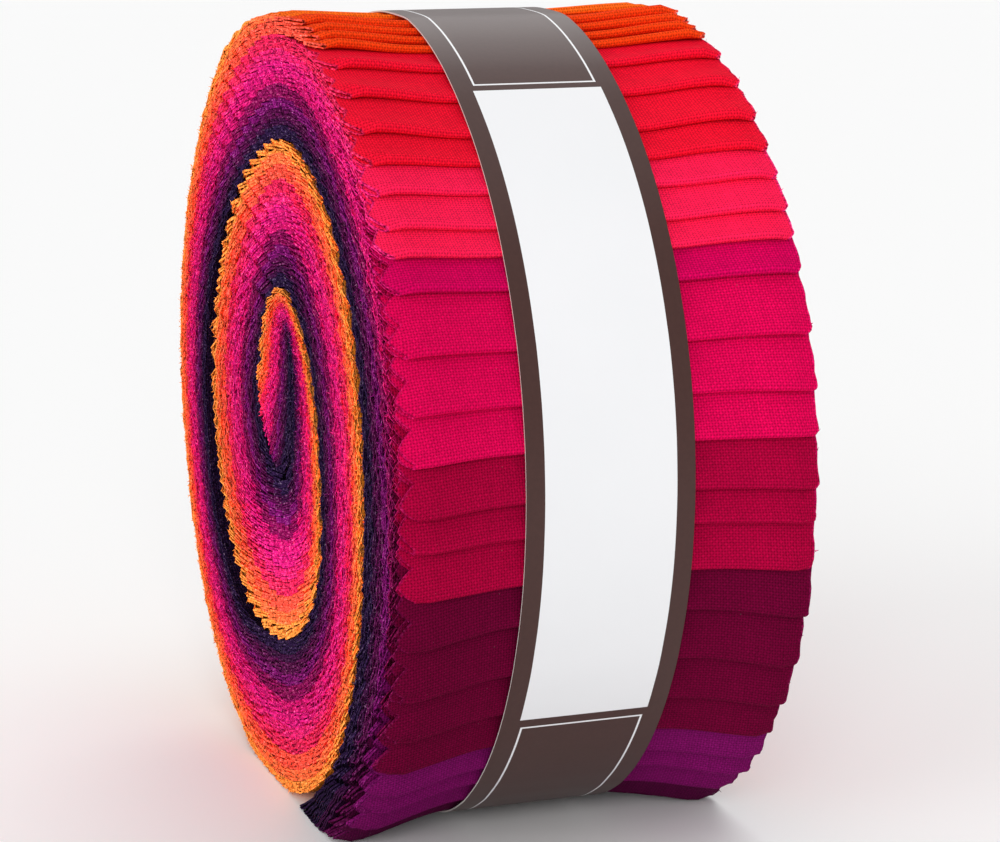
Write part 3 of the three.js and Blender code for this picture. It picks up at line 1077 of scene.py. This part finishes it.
def make_floor():
    bpy.ops.object.select_all(action="DESELECT")
    bpy.ops.mesh.primitive_plane_add(size=FLOOR_SIZE, location=(0, 0, 0))
    floor = bpy.context.active_object
    floor.name = "floor"
    material, _, shader = make_material("pale floor", FLOOR_ROUGHNESS, FLOOR_SPECULAR)
    shader.inputs["Base Color"].default_value = FLOOR_COLOUR
    floor.data.materials.append(material)


def make_soft_light(name, place, strength, spread):
    """A large, far softbox that shines from a place towards the roll."""
    light = bpy.data.lights.new(name, "SUN")
    light.energy = strength
    light.angle = math.radians(spread)
    lamp = bpy.data.objects.new(name, light)
    lamp.location = place
    lamp.rotation_euler = (-Vector(place)).to_track_quat("-Z", "Y").to_euler()
    bpy.context.scene.collection.objects.link(lamp)


def make_light():
    world = bpy.data.worlds.new("studio")
    world.use_nodes = True
    world.node_tree.nodes["Background"].inputs[0].default_value = WORLD_COLOUR
    world.node_tree.nodes["Background"].inputs[1].default_value = WORLD_STRENGTH
    bpy.context.scene.world = world
    for softbox in SOFTBOXES:
        make_soft_light(**softbox)
    bpy.context.scene.view_settings.view_transform = "Standard"


def make_camera():
    azimuth = math.radians(CAMERA_AZIMUTH)
    elevation = math.radians(CAMERA_ELEVATION)
    roll = math.radians(CAMERA_ROLL)
    level = math.cos(elevation)
    ahead = Vector((math.sin(azimuth) * level, math.cos(azimuth) * level, -math.sin(elevation)))
    right = ahead.cross(Vector((0, 0, 1))).normalized()
    up = right.cross(ahead)
    turned_right = right * math.cos(roll) + up * math.sin(roll)
    turned_up = up * math.cos(roll) - right * math.sin(roll)
    data = bpy.data.cameras.new("camera")
    data.lens = CAMERA_LENS
    data.sensor_width = SENSOR_WIDTH
    camera = bpy.data.objects.new("camera", data)
    turn = Matrix((turned_right, turned_up, -ahead)).transposed()
    camera.matrix_world = Matrix.Translation(CAMERA_PLACE) @ turn.to_4x4()
    data.clip_start = NEAREST_SEEN
    bpy.context.scene.collection.objects.link(camera)
    bpy.context.scene.camera = camera


make_camera()
make_light()
make_floor()

weave = make_weave_group()
cotton = {}
for cloth, colours in CLOTH_COLOURS.items():
    cotton[cloth] = make_cloth_material(cloth, colours, weave)
strips = []
for number in range(STRIP_COUNT):
    strip = make_strip(number)
    strip.data.materials.append(cotton[CLOTH_OF[number]])
    strips.append(strip)
band = make_band(strips)

# Each strip lies on the next one in, and the innermost on the next turn of the outermost. The strips and the
# band are all attached to one root body, and the model's roll and band are hidden.
for number, strip in enumerate(strips):
    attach(strip, "root")
    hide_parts("roll")
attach(band, "root")
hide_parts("band")
